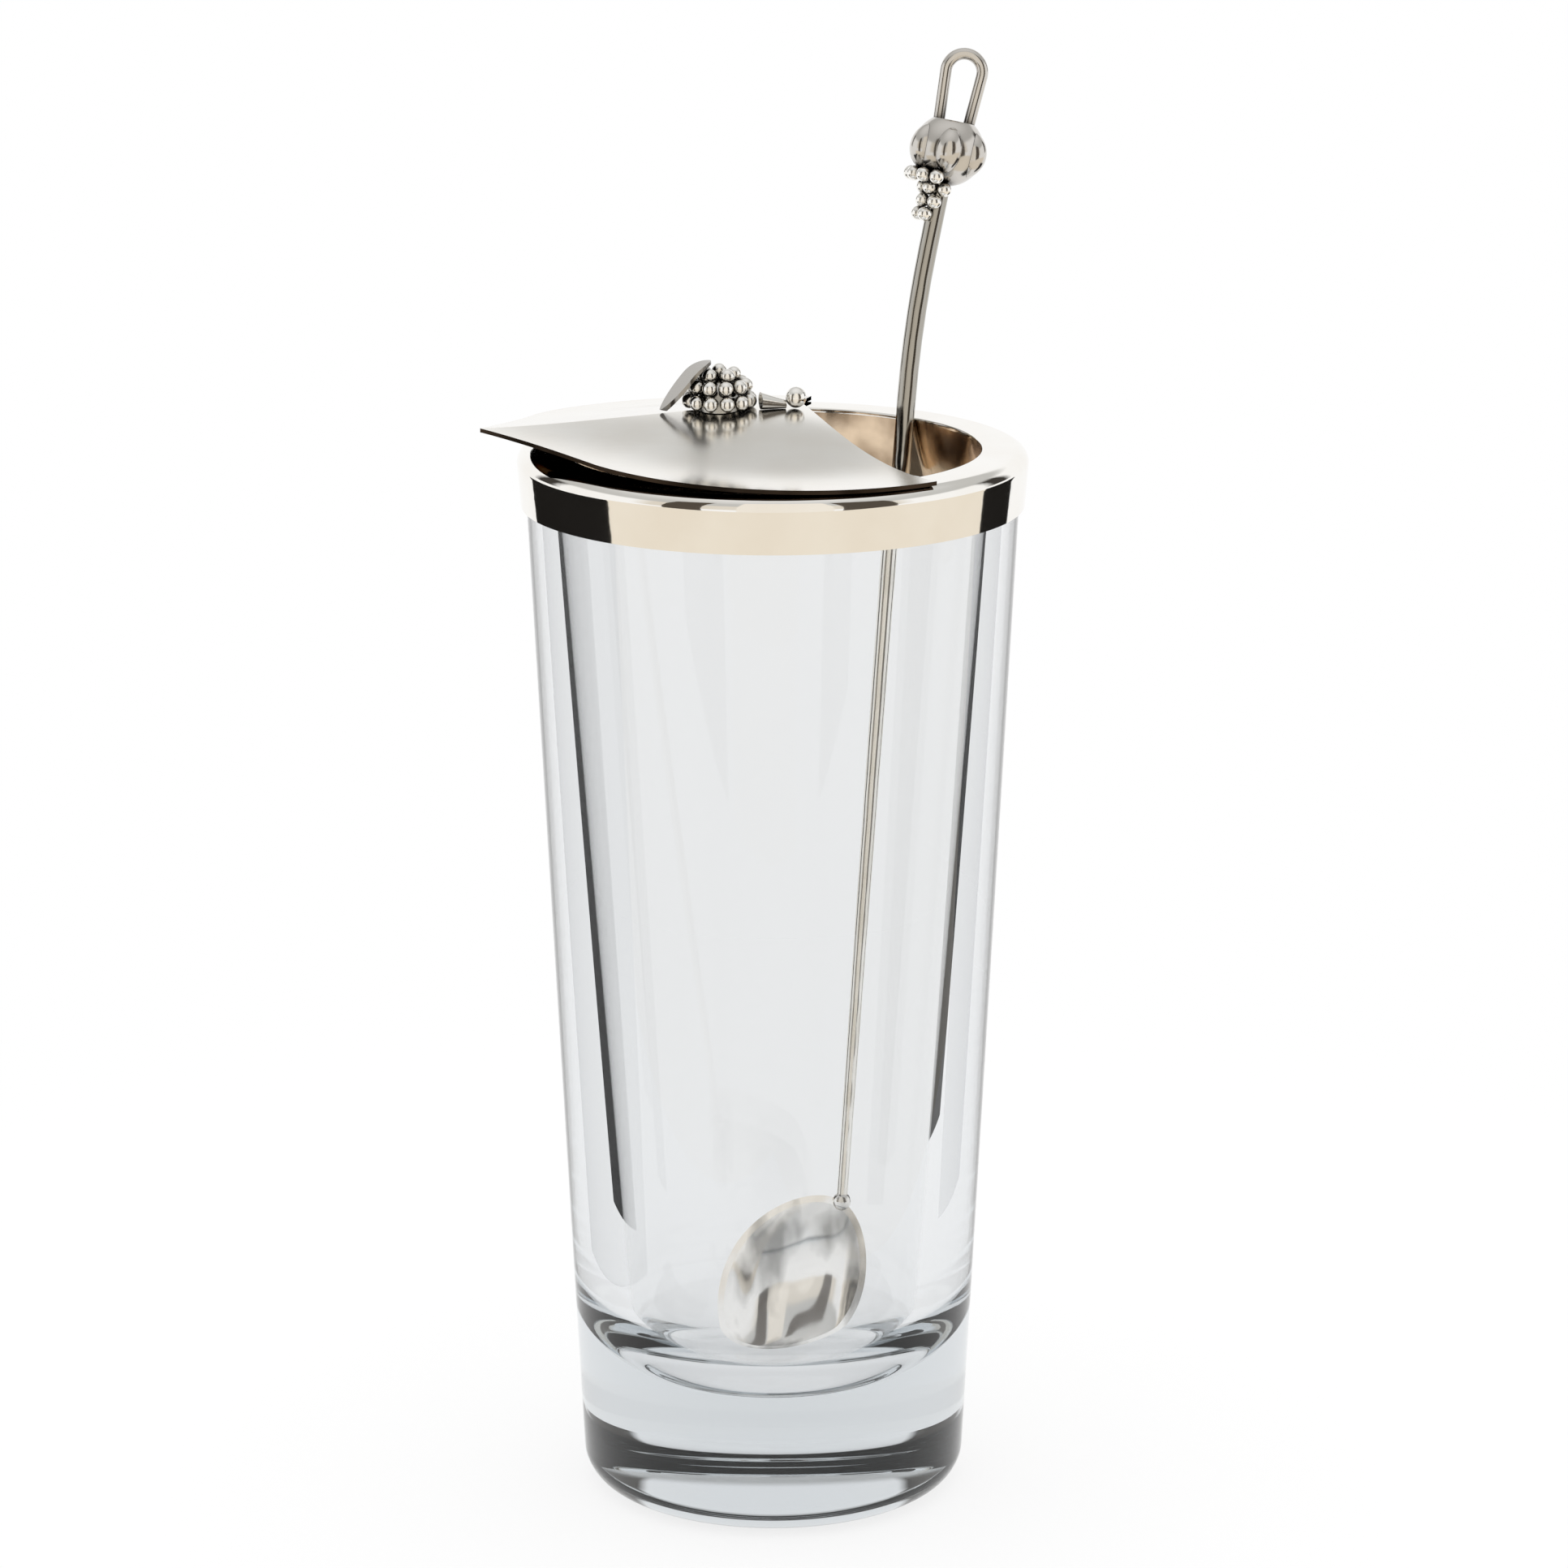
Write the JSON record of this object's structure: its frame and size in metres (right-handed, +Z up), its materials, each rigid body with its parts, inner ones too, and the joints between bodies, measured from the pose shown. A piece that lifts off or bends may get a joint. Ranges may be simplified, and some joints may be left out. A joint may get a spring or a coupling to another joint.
{
  "type": "cocktail pitcher",
  "caption": "Tall tapered clear glass cocktail pitcher with a silver rim mount, a raised half hood drawn to a pouring lip, a berry finial and a loose long mixing spoon.",
  "frame": {"origin": "middle of the flat base, on the surface that the pitcher stands on", "axes": "+Z up along the vessel's axis, -X towards the pouring lip, +Y to the side where the spoon leans"},
  "size_m": [0.1226, 0.1114, 0.318],
  "materials": {
    "clear_glass": "polished",
    "setting_cement": "matt",
    "polished_silver": "mirror polished",
    "oxidised_silver": "polished on the high places, darkened in the recesses"
  },
  "bodies": {
    "pitcher": {"glass_vessel": "clear_glass", "cement_bed": "setting_cement", "collar_band": "polished_silver", "collar_sleeve": "polished_silver", "hood": "polished_silver", "finial_core": "oxidised_silver", "finial_berries": "oxidised_silver", "finial_leaf": "oxidised_silver", "finial_twig": "oxidised_silver", "twig_bud": "oxidised_silver"},
    "spoon": {"spoon_bowl": "polished_silver", "spoon_stem": "polished_silver", "spoon_bud": "oxidised_silver", "spoon_petals": "oxidised_silver", "spoon_berries": "oxidised_silver", "spoon_loop": "polished_silver"}
  },
  "joints": [
    {"name": "spoon_lift", "type": "slide", "parent": "pitcher", "child": "spoon", "axis": [0.122, 0.0067, 0.9925], "range_m": [0, 0.225]}
  ]
}
